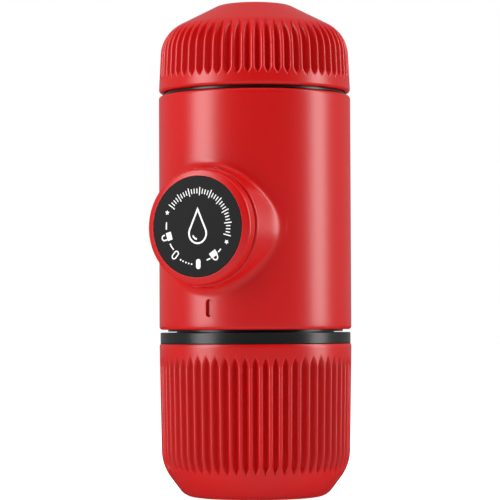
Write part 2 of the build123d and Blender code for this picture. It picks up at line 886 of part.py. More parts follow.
with BuildPart() as outlet_head:
    revolve(
        turned_section(
            (bowl_inner, bowl_bottom_z),
            (bowl_inner + bowl_wall, bowl_bottom_z),
            (bowl_inner + bowl_wall, flange_bottom_z - web_drop),
            (collar_inner, flange_bottom_z - web_drop),
            (collar_inner, head_collar_bottom_z),
            (head_collar_radius, head_collar_bottom_z),
            (head_collar_radius, head_ring_z - head_groove_half),
            (head_groove_radius, head_ring_z - head_groove_half),
            (head_groove_radius, head_ring_z + head_groove_half),
            (head_collar_radius, head_ring_z + head_groove_half),
            (head_collar_radius, flange_bottom_z),
            (head_neck_radius, flange_bottom_z),
            (head_neck_radius, flange_top_z),
            (cup_skirt_radius, flange_top_z),
            (cup_skirt_radius, cup_skirt_top_z),
            (cup_skirt_inner, cup_skirt_top_z),
            (cup_skirt_inner, flange_top_z + web_thickness),
            (bowl_inner + bowl_top_wall, flange_top_z + web_thickness),
            (bowl_inner + bowl_top_wall, bowl_top_z + funnel_shoulder),
            (nozzle_boss_radius, nozzle_seat_z + nozzle_shoulder),
            (nozzle_boss_radius, nozzle_boss_top_z),
            (nozzle_radius, nozzle_boss_top_z),
            (nozzle_radius, nozzle_seat_z),
            (spout_radius, nozzle_seat_z),
            (spout_radius, bowl_top_z + funnel_rise),
            (bowl_inner, bowl_top_z),
        ),
        axis=Axis.Z,
    )

crema_hole = 0.6
crema_thickness = 1.0
crema_top_z = nozzle_seat_z + crema_thickness
with BuildPart() as crema_valve:
    revolve(
        turned_section(
            (crema_hole, nozzle_seat_z),
            (nozzle_radius - running_gap, nozzle_seat_z),
            (nozzle_radius - running_gap, crema_top_z),
            (crema_hole, crema_top_z),
        ),
        axis=Axis.Z,
    )

rim_inset = 0.6
nozzle_rim_radius = nozzle_boss_radius - rim_inset
nozzle_rim = 1.2
nozzle_tip = 1.8
nozzle_hole = 1.2
nozzle_tip_radius = 2.6
with BuildPart() as spout_nozzle:
    revolve(
        turned_section(
            (nozzle_hole, crema_top_z),
            (nozzle_radius - running_gap, crema_top_z),
            (nozzle_radius - running_gap, nozzle_boss_top_z),
            (nozzle_rim_radius, nozzle_boss_top_z),
            (nozzle_rim_radius, nozzle_boss_top_z + nozzle_rim),
            (nozzle_tip_radius, nozzle_boss_top_z + nozzle_tip),
            (nozzle_hole, nozzle_boss_top_z + nozzle_tip),
        ),
        axis=Axis.Z,
    )

# ---------------------------------------------------------------- O-rings
with BuildPart() as tank_o_ring:
    with BuildSketch(Plane.XZ):
        with Locations((mouth_radius - running_gap - ring_section / 2, ring_z)):
            Circle(ring_section / 2)
    revolve(axis=Axis.Z)

with BuildPart() as head_o_ring:
    with BuildSketch(Plane.XZ):
        with Locations((socket_radius - running_gap - head_ring_section / 2, head_ring_z)):
            Circle(head_ring_section / 2)
    revolve(axis=Axis.Z)

# ---------------------------------------------------------------- cup
cup_slope = 27.0        # of the cone below the flat top
cup_flat_radius = 10.4
cup_draft = 0.91        # the shoulder's corner is this much inside the body's radius
cup_shoulder_radius = body_radius - cup_draft
cup_rise = (cup_shoulder_radius - cup_flat_radius) * math.tan(math.radians(cup_slope))
cup_shoulder_z = cup_top_z - cup_rise
cup_shoulder_round = 11.0
cup_top_round = 4.4
bend_legs = 3           # straight legs of a groove round the shoulder
right_angle = 90.0
run_out_inset = 11.5    # from the body's radius to where a groove has left the cone
run_out_radius = body_radius - run_out_inset
run_out_lean = 6.5      # degrees between the groove and the cone
cup_outline = (
    (body_radius, cup_rim_z),
    (cup_shoulder_radius, cup_shoulder_z),
    (cup_flat_radius, cup_top_z),
    (0, cup_top_z),
)
cup_inside = moved_in(cup_outline, cup_wall)

with BuildPart() as cup:
    revolve(
        turned_section(
            *cup_outline,
            *reversed(cup_inside[1:]),
            (cup_inside[0][0], cup_rim_z),
            radii=(edge_round, cup_shoulder_round, cup_top_round, 0, 0,
                   cup_top_round - cup_wall, cup_shoulder_round - cup_wall, 0),
        ),
        axis=Axis.Z,
    )
    # Pointed start above the rim, round the shoulder, then a slow run-out on the cone
    bend_centre = moved_in(cup_outline[:3], cup_shoulder_round)[1]
    wall_lean = math.degrees(math.atan2(body_radius - cup_shoulder_radius, cup_shoulder_z - cup_rim_z))
    bend_half = (right_angle - cup_slope - wall_lean) / bend_legs / 2
    bend_radius = (cup_shoulder_round + flute_lift) / math.cos(math.radians(bend_half))
    bend = []
    for leg in range(bend_legs):
        angle = math.radians(wall_lean + bend_half * (2 * leg + 1))
        bend.append((
            bend_centre[0] + bend_radius * math.cos(angle),
            bend_centre[1] + bend_radius * math.sin(angle),
        ))
    run_out_rise = (bend[-1][0] - run_out_radius) * math.tan(math.radians(cup_slope - run_out_lean))
    cup_flute = flute_cutter((
        (body_radius + flute_out - draft_ease, cup_rim_z + cup_flute_start),
        (body_radius + flute_lift - 2 * draft_ease, cup_rim_z + cup_flute_start + flute_run),
        *bend,
        (run_out_radius, bend[-1][1] + run_out_rise),
    ))
    with PolarLocations(0, flute_count, start_angle=-90):
        add(cup_flute, mode=Mode.SUBTRACT)

# ---------------------------------------------------------------- write the pieces
pieces = {
    "tank_shell": tank_shell,
    "tank_liner": tank_liner,
    "tank_o_ring": tank_o_ring,
    "body_shell": body_shell,
    "chassis": chassis,
    "brew_head": brew_head,
    "chassis_screws": chassis_screws,
    "pump_cylinder": pump_cylinder,
    "cylinder_gland": cylinder_gland,
    "cylinder_cap": cylinder_cap,
    "piston_rod": piston_rod,
    "piston_seal": piston_seal,
    "knob_shell": knob_shell,
    "knob_face": knob_face,
    "knob_screw": knob_screw,
    "return_spring": return_spring,
    "inlet_filter": inlet_filter,
    "inlet_valve": inlet_valve,
    "suction_tube": suction_tube,
    "vent_valve": vent_valve,
    "valve_seat": valve_seat,
    "valve_ball": valve_ball,
    "valve_spring": valve_spring,
    "delivery_nipple": delivery_nipple,
    "shower_screen": shower_screen,
    "shower_screw": shower_screw,
    "brew_gasket": brew_gasket,
    "filter_basket": filter_basket,
    "scoop": scoop,
    "outlet_head": outlet_head,
    "head_o_ring": head_o_ring,
    "crema_valve": crema_valve,
    "spout_nozzle": spout_nozzle,
    "cup": cup,
}
for name, piece in pieces.items():
    piece.part.label = name
    export_step(piece.part, f"parts/{name}.step")
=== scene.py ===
import json
import math

import bmesh
import bpy
import numpy as np
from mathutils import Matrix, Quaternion, Vector


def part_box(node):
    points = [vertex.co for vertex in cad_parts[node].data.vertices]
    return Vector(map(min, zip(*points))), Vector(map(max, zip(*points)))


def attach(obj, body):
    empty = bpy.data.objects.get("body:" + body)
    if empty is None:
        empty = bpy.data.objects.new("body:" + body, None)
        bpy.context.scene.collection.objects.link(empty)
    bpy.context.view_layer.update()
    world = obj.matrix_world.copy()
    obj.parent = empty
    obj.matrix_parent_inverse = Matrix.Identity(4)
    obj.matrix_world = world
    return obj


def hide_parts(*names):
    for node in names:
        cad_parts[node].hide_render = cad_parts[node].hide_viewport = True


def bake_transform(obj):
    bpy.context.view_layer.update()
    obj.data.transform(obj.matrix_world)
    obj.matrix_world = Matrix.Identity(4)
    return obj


# Looks of the handheld espresso maker. Metres, +Z up, the pump button faces -Y.
# Radii and heights come from the CAD nodes; the values below are the finer forms.

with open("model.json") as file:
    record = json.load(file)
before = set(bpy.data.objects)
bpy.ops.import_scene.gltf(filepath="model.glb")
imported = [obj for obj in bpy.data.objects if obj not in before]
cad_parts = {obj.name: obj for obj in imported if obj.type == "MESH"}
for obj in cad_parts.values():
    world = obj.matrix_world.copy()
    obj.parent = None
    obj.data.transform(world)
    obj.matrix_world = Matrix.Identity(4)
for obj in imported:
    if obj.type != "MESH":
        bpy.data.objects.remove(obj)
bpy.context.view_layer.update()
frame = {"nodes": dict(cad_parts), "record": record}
nodes = frame["nodes"]
mm = 0.001


# ---------------------------------------------------------------- camera and light
photo_width = 500               # pixels
focal_pixels = 2324
sensor_width = 36               # millimetres, the unit that lenses are given in
clip_range = (0.05, 20)
camera_distance = 740 * mm
camera_azimuth = math.radians(28.1)
camera_height = 55 * mm
aim_height = 78.1 * mm
aim_left = 1.64 * mm            # the axis stands this much right of the picture's middle
roll = math.radians(0.24)

tent_radius = 1.2
tent_foot = 0.0002              # height of its lower face, just clear of the floor
tent_height = 1.4
tent_sides = 48
tent_front = 0.05               # glow of the tent on the camera's side
tent_back = 0.32                # and behind and above the object
front_half = math.radians(95)   # how far round from the camera the dark side reaches

world_fill = 0.03               # the world's light on the pieces
floor_half = 6.0                # half of the floor's side
floor_paint = 0.9
floor_bounce = 0.5              # the floor's own light on the object, as white paper gives
floor_near, floor_far = 0.88, 1.0       # its white close to the object and farther off
fade_start, fade_end = 0.08, 0.45       # distances between which one becomes the other


def linked(name, data):
    """A new object in the scene."""
    made = bpy.data.objects.new(name, data)
    bpy.context.scene.collection.objects.link(made)
    return made


def around(azimuth, distance, height):
    """A point round the main axis. Azimuth 0 is in front of the button, 90 on its right."""
    return Vector((distance * math.sin(azimuth), -distance * math.cos(azimuth), height))


def look_at(thing, target, rolled=0.0):
    """Turns a camera or lamp to a point, and rolls it about its line of sight."""
    look = target - thing.location
    upright = look.to_track_quat("-Z", "Y")
    thing.rotation_mode = "QUATERNION"
    thing.rotation_quaternion = Quaternion(look.normalized(), rolled) @ upright


def add_camera():
    data = bpy.data.cameras.new("camera")
    data.sensor_width = sensor_width
    data.lens = focal_pixels / photo_width * sensor_width
    data.clip_start, data.clip_end = clip_range
    camera = linked("camera", data)
    camera.location = around(camera_azimuth, camera_distance, camera_height)
    to_left = -aim_left * Vector((math.cos(camera_azimuth), math.sin(camera_azimuth), 0))
    look_at(camera, Vector((0, 0, aim_height)) + to_left, roll)
    bpy.context.scene.camera = camera


def add_softbox(name, azimuth, distance, height, width, tall, power, aim=None, shows=True):
    """A rectangular lamp that faces the main axis. Azimuth is measured from the camera's.

    A lamp that doesn't show isn't seen in reflections.
    """
    data = bpy.data.lights.new(name, "AREA")
    data.shape = "RECTANGLE"
    data.size, data.size_y = width, tall
    data.energy = power
    lamp = linked(name, data)
    lamp.location = around(camera_azimuth + math.radians(azimuth), distance, height)
    look_at(lamp, Vector((0, 0, height if aim is None else aim)))
    lamp.visible_glossy = shows


def add_lights():
    """Two tall softboxes at the sides, and one above that no reflection shows."""
    add_softbox("left_softbox", azimuth=-63, distance=0.60, height=0.33,
                width=0.28, tall=0.66, power=3.5)
    add_softbox("right_softbox", azimuth=80, distance=0.60, height=0.33,
                width=0.22, tall=0.66, power=2.95)
    add_softbox("top_softbox", azimuth=10, distance=0.12, height=0.85,
                width=0.50, tall=0.50, power=5.1, aim=0.15, shows=False)


def cleared(owner, output):
    """The emptied node tree of a material or world, and the surface socket of its output."""
    owner.use_nodes = True
    tree = owner.node_tree
    tree.nodes.clear()
    return tree, tree.nodes.new(output).inputs["Surface"]


def white_light(tree, kind, strength):
    """A white emission or background node."""
    light = tree.nodes.new(kind)
    light.inputs["Color"].default_value = (1, 1, 1, 1)
    light.inputs["Strength"].default_value = strength
    return light


def by_ray(tree, lighting, shown):
    """Mixes two shaders: one lights the object, the other is what camera and reflections see."""
    path = tree.nodes.new("ShaderNodeLightPath")
    seen = path.outputs["Is Camera Ray"]
    for ray in ("Is Glossy Ray", "Is Transmission Ray"):
        larger = tree.nodes.new("ShaderNodeMath")
        larger.operation = "MAXIMUM"
        tree.links.new(seen, larger.inputs[0])
        tree.links.new(path.outputs[ray], larger.inputs[1])
        seen = larger.outputs[0]
    mix = tree.nodes.new("ShaderNodeMixShader")
    tree.links.new(seen, mix.inputs[0])
    tree.links.new(lighting.outputs[0], mix.inputs[1])
    tree.links.new(shown.outputs[0], mix.inputs[2])
    return mix


def glowing(name, strength):
    """A material that gives off an even white light."""
    material = bpy.data.materials.new(name)
    tree, output = cleared(material, "ShaderNodeOutputMaterial")
    light = white_light(tree, "ShaderNodeEmission", strength)
    tree.links.new(light.outputs[0], output)
    return material


def add_tent():
    """A tent round the set that only reflections see: dark on the camera's side."""
    angles = camera_azimuth + 2 * math.pi * np.arange(tent_sides) / tent_sides
    points = turned(tent_radius, [[tent_foot], [tent_height]], angles)
    sides = grid_faces(2, tent_sides).tolist()
    ends = np.arange(2 * tent_sides).reshape(2, tent_sides).tolist()
    mesh = bpy.data.meshes.new("tent")
    mesh.from_pydata(points.tolist(), [], sides + ends)
    mesh.materials.append(glowing("tent_front", tent_front))
    mesh.materials.append(glowing("tent_back", tent_back))
    for k in range(tent_sides):
        turn = 2 * math.pi * (k + 0.5) / tent_sides
        mesh.polygons[k].material_index = int(min(turn, 2 * math.pi - turn) > front_half)
    mesh.polygons[tent_sides + 1].material_index = 1        # its top
    tent = linked("tent", mesh)
    tent.visible_camera = tent.visible_diffuse = tent.visible_shadow = False


def add_world():
    """White to the camera, with a low fill on the pieces. The tent hides it from reflections."""
    world = bpy.data.worlds.new("studio")
    bpy.context.scene.world = world
    tree, output = cleared(world, "ShaderNodeOutputWorld")
    fill = white_light(tree, "ShaderNodeBackground", world_fill)
    white = white_light(tree, "ShaderNodeBackground", 1.0)
    tree.links.new(by_ray(tree, fill, white).outputs[0], output)


def distance_from_middle(tree):
    """Node output with the distance from the object's origin."""
    place = tree.nodes.new("ShaderNodeTexCoord")
    reach = tree.nodes.new("ShaderNodeVectorMath")
    reach.operation = "LENGTH"
    tree.links.new(place.outputs["Object"], reach.inputs[0])
    return reach.outputs["Value"]


def make_floor_material():
    """Pale paint that takes the shadow, with a light of its own that grows away from the middle."""
    material = bpy.data.materials.new("floor")
    tree, output = cleared(material, "ShaderNodeOutputMaterial")
    paint = tree.nodes.new("ShaderNodeBsdfDiffuse")
    paint.inputs["Color"].default_value = (floor_paint, floor_paint, floor_paint, 1)
    spread = tree.nodes.new("ShaderNodeMapRange")
    spread.interpolation_type = "SMOOTHSTEP"
    spread.inputs["From Min"].default_value = fade_start
    spread.inputs["From Max"].default_value = fade_end
    spread.inputs["To Min"].default_value = floor_near
    spread.inputs["To Max"].default_value = floor_far
    tree.links.new(distance_from_middle(tree), spread.inputs["Value"])
    bounce = white_light(tree, "ShaderNodeEmission", floor_bounce)
    white = white_light(tree, "ShaderNodeEmission", floor_far)
    tree.links.new(spread.outputs["Result"], white.inputs["Strength"])
    both = tree.nodes.new("ShaderNodeAddShader")
    tree.links.new(paint.outputs[0], both.inputs[0])
    tree.links.new(by_ray(tree, bounce, white).outputs[0], both.inputs[1])
    tree.links.new(both.outputs[0], output)
    return material


def add_floor():
    """Pale floor: white where it is lit, with the object's soft shadow."""
    corners = [(-floor_half, -floor_half, 0), (floor_half, -floor_half, 0),
               (floor_half, floor_half, 0), (-floor_half, floor_half, 0)]
    mesh = bpy.data.meshes.new("floor")
    mesh.from_pydata(corners, [], [(0, 1, 2, 3)])
    mesh.materials.append(make_floor_material())
    floor = linked("floor", mesh)
    floor.visible_glossy = False    # reflections see the tent's lower face in its place


# ---------------------------------------------------------------- materials
cloud_scale, cloud_detail = 55, 3.0     # slow changes of shade, per metre
grain_detail = 2.0
rough_spread = 0.04             # how far the grain changes the roughness each way


def srgb(red, green, blue):
    """Linear colour of an sRGB colour given from 0 to 255."""
    def linear(value):
        value /= 255
        return value / 12.92 if value <= 0.04045 else ((value + 0.055) / 1.055) ** 2.4
    return (linear(red), linear(green), linear(blue), 1)


def noise(tree, scale, detail, stretch=(1, 1, 1)):
    """Noise fixed to the piece, in object space, at a scale per metre."""
    place = tree.nodes.new("ShaderNodeTexCoord")
    mapping = tree.nodes.new("ShaderNodeMapping")
    mapping.inputs["Scale"].default_value = stretch
    grain = tree.nodes.new("ShaderNodeTexNoise")
    grain.inputs["Scale"].default_value = scale
    grain.inputs["Detail"].default_value = detail
    tree.links.new(place.outputs["Object"], mapping.inputs["Vector"])
    tree.links.new(mapping.outputs["Vector"], grain.inputs["Vector"])
    return grain.outputs["Fac"]


def ranged(tree, value, low, high):
    """The value from 0..1 spread over low..high."""
    spread = tree.nodes.new("ShaderNodeMapRange")
    spread.inputs["To Min"].default_value = low
    spread.inputs["To Max"].default_value = high
    tree.links.new(value, spread.inputs["Value"])
    return spread.outputs["Result"]


def surface(name, color, roughness, grain_scale, grain_height, metallic=0.0, tint=0.04,
            stretch=(1, 1, 1), specular=0.5):
    """A material with a fine grain in its relief and roughness, and clouds in its colour."""
    material = bpy.data.materials.new(name)
    material.use_nodes = True
    tree = material.node_tree
    shader = tree.nodes["Principled BSDF"]
    shader.inputs["Metallic"].default_value = metallic
    shader.inputs["Specular IOR Level"].default_value = specular
    cloud = noise(tree, cloud_scale, cloud_detail)
    shades = tree.nodes.new("ShaderNodeMixRGB")
    shades.inputs["Color1"].default_value = [c * (1 - tint) for c in color[:3]] + [1]
    shades.inputs["Color2"].default_value = [min(1, c * (1 + tint)) for c in color[:3]] + [1]
    tree.links.new(cloud, shades.inputs["Fac"])
    tree.links.new(shades.outputs["Color"], shader.inputs["Base Color"])
    fine = noise(tree, grain_scale, grain_detail, stretch)
    rough = ranged(tree, fine, roughness - rough_spread, roughness + rough_spread)
    tree.links.new(rough, shader.inputs["Roughness"])
    bump = tree.nodes.new("ShaderNodeBump")
    bump.inputs["Strength"].default_value = 1.0
    bump.inputs["Distance"].default_value = grain_height
    tree.links.new(fine, bump.inputs["Height"])
    tree.links.new(bump.outputs["Normal"], shader.inputs["Normal"])
    return material


def make_materials():
    """All materials: colour, roughness, scale of the grain per metre and its height."""
    return {
        "red_plastic": surface("red_plastic", srgb(188, 8, 8), 0.31, 2600, 0.012 * mm,
                               specular=0.6),
        "dark_plastic": surface("dark_plastic", srgb(24, 25, 25), 0.30, 2600, 0.012 * mm),
        "black_face": surface("black_face", srgb(30, 30, 31), 0.52, 5200, 0.006 * mm,
                              specular=0.08),
        "steel": surface("steel", srgb(200, 200, 198), 0.24, 900, 0.004 * mm, metallic=1.0,
                         tint=0.03, stretch=(1, 1, 12)),
        "screw_steel": surface("screw_steel", srgb(176, 176, 178), 0.30, 1400, 0.004 * mm,
                               metallic=1.0, tint=0.03),
        "rubber": surface("rubber", srgb(28, 28, 28), 0.62, 3200, 0.02 * mm),
        "white_print": surface("white_print", srgb(240, 240, 238), 0.45, 5200, 0.004 * mm,
                               tint=0.01),
    }


# ---------------------------------------------------------------- outlines
arc_steps = 10                  # in each rounded corner
chord_half = 0.05 * mm          # half the stretch that an outline's direction is measured on


def rounded(corners, rounds):
    """Points of an open outline, (radius, place), with its inner corners rounded."""
    corners = [np.array(corner, float) for corner in corners]
    points = [corners[0]]
    for before, corner, after, radius in zip(corners, corners[1:], corners[2:], rounds):
        if radius == 0:
            points.append(corner)
            continue
        back = (before - corner) / np.linalg.norm(before - corner)
        onward = (after - corner) / np.linalg.norm(after - corner)
        half = math.acos(back @ onward) / 2
        middle = (back + onward) / np.linalg.norm(back + onward)
        centre = corner + middle * radius / math.sin(half)
        start = corner + back * radius / math.tan(half) - centre
        end = corner + onward * radius / math.tan(half) - centre
        side = np.sign(start[0] * end[1] - start[1] * end[0])
        for share in np.linspace(0, 1, arc_steps + 1):
            turn = side * share * (math.pi - 2 * half)
            points.append(centre + (
                start[0] * math.cos(turn) - start[1] * math.sin(turn),
                start[0] * math.sin(turn) + start[1] * math.cos(turn),
            ))
    points.append(corners[-1])
    return np.array(points)


def lengths(points):
    """Length along an outline up to each of its points."""
    steps = np.linalg.norm(np.diff(points, axis=0), axis=1)
    return np.concatenate([[0], np.cumsum(steps)])


def at_places(points, places):
    """Points and outward normals at lengths along an outline that has its outside on the right."""
    along = lengths(points)
    def position(where):
        return np.stack([np.interp(where, along, points[:, i]) for i in (0, 1)], axis=1)
    ahead = position(places + chord_half) - position(places - chord_half)
    ahead /= np.linalg.norm(ahead, axis=1)[:, None]
    return position(places), np.stack([ahead[:, 1], -ahead[:, 0]], axis=1)


def stepped(*stretches):
    """Places along an outline: each stretch is (end, largest step), and the first starts at 0."""
    places, start = [0.0], 0.0
    for end, step in stretches:
        count = max(1, math.ceil((end - start) / step))
        places += list(np.linspace(start, end, count + 1)[1:])
        start = end
    return np.array(places)


def moved_left(corners, distance):
    """The same open outline with every side moved to its left."""
    corners = np.array(corners, float)
    sides = np.diff(corners, axis=0)
    sides /= np.linalg.norm(sides, axis=1)[:, None]
    normals = np.stack([-sides[:, 1], sides[:, 0]], axis=1)
    result = [corners[0] + normals[0] * distance]
    for corner, before, after in zip(corners[1:], normals, normals[1:]):
        result.append(corner + (before + after) * distance / (1 + before @ after))
    result.append(corners[-1] + normals[-1] * distance)
    return result


# ---------------------------------------------------------------- meshes
weld = 0.0005 * mm              # vertices closer than this become one
sharp_angle = math.radians(38)
turned_columns = 192


def piece(name, vertices, faces, slot, body, *replaced):
    """A smooth-shaded piece with one material, riding on a body in place of CAD nodes."""
    mesh = bpy.data.meshes.new(name)
    if isinstance(faces, np.ndarray):
        faces = faces.tolist()
    mesh.from_pydata(np.asarray(vertices).tolist(), [], faces)
    tidy = bmesh.new()
    tidy.from_mesh(mesh)
    bmesh.ops.remove_doubles(tidy, verts=tidy.verts, dist=weld)
    bmesh.ops.delete(tidy, geom=[v for v in tidy.verts if not v.link_faces], context="VERTS")
    tidy.to_mesh(mesh)
    tidy.free()
    mesh.polygons.foreach_set("use_smooth", [True] * len(mesh.polygons))
    mesh.set_sharp_from_angle(angle=sharp_angle)
    mesh.materials.append(materials[slot])
    made = linked(name, mesh)
    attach(made, body)
    if replaced:
        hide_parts(*replaced)
    return made


def grid_faces(rows, columns, closed_rows=False):
    """Quads of a grid whose columns go round; closed_rows joins the last row to the first."""
    row = np.arange(rows if closed_rows else rows - 1)[:, None]
    column = np.arange(columns)[None, :]
    after, beside = (row + 1) % rows, (column + 1) % columns
    corners = [row * columns + column, row * columns + beside,
               after * columns + beside, after * columns + column]
    return np.stack(corners, axis=-1).reshape(-1, 4)


def turned(radii, places, angles):
    """Vertices of rows turned about Z. Angle 0 is -Y and 90 is +X; radii may vary round a row."""
    radii = np.broadcast_to(np.asarray(radii), (len(places), len(angles)))
    places = np.broadcast_to(np.asarray(places), radii.shape)
    return np.stack([radii * np.sin(angles), -radii * np.cos(angles), places],
                    axis=-1).reshape(-1, 3)


def pump_piece(name, outline, slot, body, node):
    """A closed outline, (radius, reach) anticlockwise, turned about the pump axis."""
    angles = np.linspace(0, 2 * math.pi, turned_columns, endpoint=False)
    x, y, reach = turned(outline[:, 0:1], outline[:, 1:2], angles).T
    vertices = np.stack([x, -reach, pump_height + y], axis=1)
    faces = grid_faces(len(outline), turned_columns, closed_rows=True)
    return piece(name, vertices, faces, slot, body, node)


# ---------------------------------------------------------------- sizes
tank_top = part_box("tank_shell")[1].z
body_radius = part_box("body_shell")[1].x
body_bottom, body_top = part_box("body_shell")[0].z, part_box("body_shell")[1].z
cup_rim, cup_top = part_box("cup")[0].z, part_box("cup")[1].z
pump_height = (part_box("knob_face")[0].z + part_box("knob_face")[1].z) / 2
boss_reach = -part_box("body_shell")[0].y + 0.5 * mm      # a fuller boss than the solid's
knob_front = -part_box("knob_face")[0].y
knob_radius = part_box("knob_shell")[1].x
face_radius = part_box("knob_face")[1].x

flute_count = 60
flute_depth = 1.65 * mm
flute_half = math.pi * body_radius / flute_count    # from a groove's middle to the ridge's
ridge_round = 0.72 * mm         # radius of a ridge's section
wall_slope = math.radians(66)   # steepest part of a groove's side
floor_softness = 1.2 * mm       # blend of the sides into the groove's floor
flute_columns = 20
column_gather = 1.35            # above 1 the columns lie closer together on the ridges

tank_wall = 2.4 * mm
tank_corners = (
    (0, 0),
    (body_radius - 8.10 * mm, 0),
    (body_radius - 0.66 * mm, 9.8 * mm),
    (body_radius, tank_top),
)
tank_rounds = (5.4 * mm, 14.5 * mm)
tank_rim_round = 0.4 * mm
tank_turn = math.radians(4)     # from -Y to the first groove
tank_tips = (7.6 * mm, 44.8 * mm)       # heights of the grooves' two points
tank_point = 4 * mm             # length in which a groove widens from its point
tank_sink_foot, tank_sink_top = 4.5 * mm, 3.6 * mm      # and in which it gets its depth

cup_wall = 2.6 * mm
cup_slope = math.radians(27)
cup_flat = 11.45 * mm
cup_shoulder = body_radius - 0.91 * mm
cup_corners = (
    (body_radius, cup_rim),
    (cup_shoulder, cup_top - (cup_shoulder - cup_flat) * math.tan(cup_slope)),
    (cup_flat, cup_top),
    (0, cup_top),
)
cup_rounds = (11.0 * mm, 4.4 * mm)
cup_rim_width, cup_rim_round = 1.6 * mm, 1.0 * mm
cup_tip = cup_rim + 3.1 * mm
cup_point, cup_sink = 2.8 * mm, 2.0 * mm    # lengths in which a groove gets its width and depth
cup_run_out = (24.0 * mm, 30.0 * mm)    # radii between which the grooves fade on the cone
cup_narrowing = 0.4             # below 1 they keep their width longer than their depth


# ---------------------------------------------------------------- fluted shells
def ogive(share):
    """Width of a pointed arch at a share of its length: 0 at its tip, 1 where it is full."""
    share = np.clip(share, 0, 1)
    return share * (2 - share)


def groove(inward, depth):
    """Sink of a groove's section at a distance in from its edge: a round edge, a side, a floor."""
    inward = np.maximum(inward, 0)
    turned_in = np.minimum(inward, ridge_round * math.sin(wall_slope))
    side = ridge_round - np.sqrt(ridge_round ** 2 - turned_in ** 2)
    side = side + (inward - turned_in) * math.tan(wall_slope)
    soft = np.maximum(floor_softness * depth / flute_depth, weld)
    overlap = np.maximum(soft - np.abs(side - depth), 0)
    return np.maximum(np.minimum(side, depth) - overlap ** 2 / (4 * soft), 0)


def tank_flute(points):
    """Depth and half width of the tank's grooves at points of its outline."""
    below_tip = tank_tips[1] - points[:, 1]
    above_tip = points[:, 1] - tank_tips[0]
    width = np.minimum(ogive(below_tip / tank_point), ogive(above_tip / tank_point))
    depth = np.minimum(ogive(below_tip / tank_sink_top), ogive(above_tip / tank_sink_foot))
    return depth * flute_depth, width * flute_half


def cup_flute(points):
    """Depth and half width of the cup's grooves: pointed at the rim, run out on the cone."""
    above_tip = points[:, 1] - cup_tip
    fading = np.clip((points[:, 0] - cup_run_out[0]) / (cup_run_out[1] - cup_run_out[0]), 0, 1)
    fading = fading ** 2 * (3 - 2 * fading)
    depth = flute_depth * np.minimum(ogive(above_tip / cup_sink), fading)
    width = math.pi * points[:, 0] / flute_count * fading ** cup_narrowing
    return depth, width * ogive(above_tip / cup_point)


def fluted_shell(name, outline, inside, places, flute, turn, body, node):
    """A closed shell: the outer outline carries the flutes and the inside one is plain."""
    points, normals = at_places(outline, places)
    depth, half = flute(points)
    share = np.arange(flute_columns) / flute_columns * 2 - 1
    share = np.sign(share) * (1 - (1 - np.abs(share)) ** column_gather)
    pitch = 2 * math.pi / flute_count
    angles = (turn + pitch * (np.arange(flute_count)[:, None] + share[None, :] / 2)).ravel()
    across = points[:, 0:1] * pitch / 2 * np.tile(np.abs(share), flute_count)[None, :]
    half = np.minimum(half, points[:, 0] * pitch / 2)
    sink = groove(half[:, None] - across, depth[:, None])
    radii = points[:, 0:1] - normals[:, 0:1] * sink
    heights = points[:, 1:2] - normals[:, 1:2] * sink
    outer = turned(radii, heights, angles)
    inner = turned(inside[:, 0:1], inside[:, 1:2], angles)
    faces = grid_faces(len(points) + len(inside), len(angles))
    return piece(name, np.concatenate([outer, inner]), faces, "red_plastic", body, node)


def add_tank_shell():
    """The tank's cover. Its rows are closest at the foot's round and where the grooves end."""
    corners = [*tank_corners, (body_radius - tank_wall, tank_top)]
    outline = rounded(corners, (*tank_rounds, tank_rim_round))
    total = lengths(outline)[-1]
    foot = tank_corners[1][0]
    places = stepped(
        (foot - 8 * mm, 4 * mm), (foot + 2 * mm, 0.5 * mm), (foot + 15 * mm, 0.3 * mm),
        (foot + 33 * mm, 1.2 * mm), (total - 6 * mm, 0.35 * mm), (total - 2.2 * mm, 0.7 * mm),
        (total - 1.7 * mm, 0.1 * mm), (total, 0.8 * mm),
    )
    inner = moved_left(tank_corners, tank_wall)
    inside = rounded([tuple(p) for p in inner], [r - tank_wall for r in tank_rounds])[::-1]
    inside[0, 1] = tank_top
    inside[-1, 0] = 0
    fluted_shell("tank_cover", outline, inside, places, tank_flute, tank_turn, "tank", "tank_shell")


def add_cup():
    """The cup's dome. Its rows are closest at the rim, the grooves' points and the shoulder."""
    corners = [(body_radius - cup_rim_width, cup_rim), *cup_corners]
    outline = rounded(corners, (cup_rim_round, *cup_rounds))
    total = lengths(outline)[-1]
    places = stepped(
        (2.2 * mm, 0.2 * mm), (4.2 * mm, 1.0 * mm), (9.5 * mm, 0.3 * mm),
        (13 * mm, 0.7 * mm), (total - 17 * mm, 0.3 * mm), (total - 8 * mm, 0.6 * mm),
        (total, 2.2 * mm),
    )
    inner = moved_left(cup_corners, cup_wall)
    inner[0][1] = cup_rim
    inner[-1][0] = 0
    inside = rounded([tuple(p) for p in inner], [r - cup_wall for r in cup_rounds])[::-1]
    fluted_shell("cup_shell", outline, inside, places, cup_flute, 0, "cup", "cup")


# ---------------------------------------------------------------- body with its boss
body_wall = 2.2 * mm
body_inner = body_radius - body_wall
edge_round = 1.0 * mm
boss_radius = 18.4 * mm         # where its face's round ends; more than the solid's by 0.5 mm
boss_edge = 0.8 * mm            # round of the boss's face
boss_depth = 10.9 * mm          # from that round to where its sides end along the cylinder
side_draft = 0.20               # growth of its half width with depth
side_spread, spread_power = 1.35 * mm, 6.2      # and what is added close to the cylinder
top_growth, growth_depth = 1.0 * mm, 4.5 * mm   # growth above and below, most of it near the face
boss_blend_side = 0.5 * mm      # softening of its foot, at the sides and above and below
boss_blend_top = 3.0 * mm
ray_steps, halvings = 600, 40   # rays in each column of the boss's foot, and steps of each search
search_range = (20 * mm, 50 * mm)       # lengths along a ray between which the surface lies

guide_bore = 16.3 * mm
guide_radius = 17.95 * mm
guide_end = 12.5 * mm           # reach of the guide tube's inner end

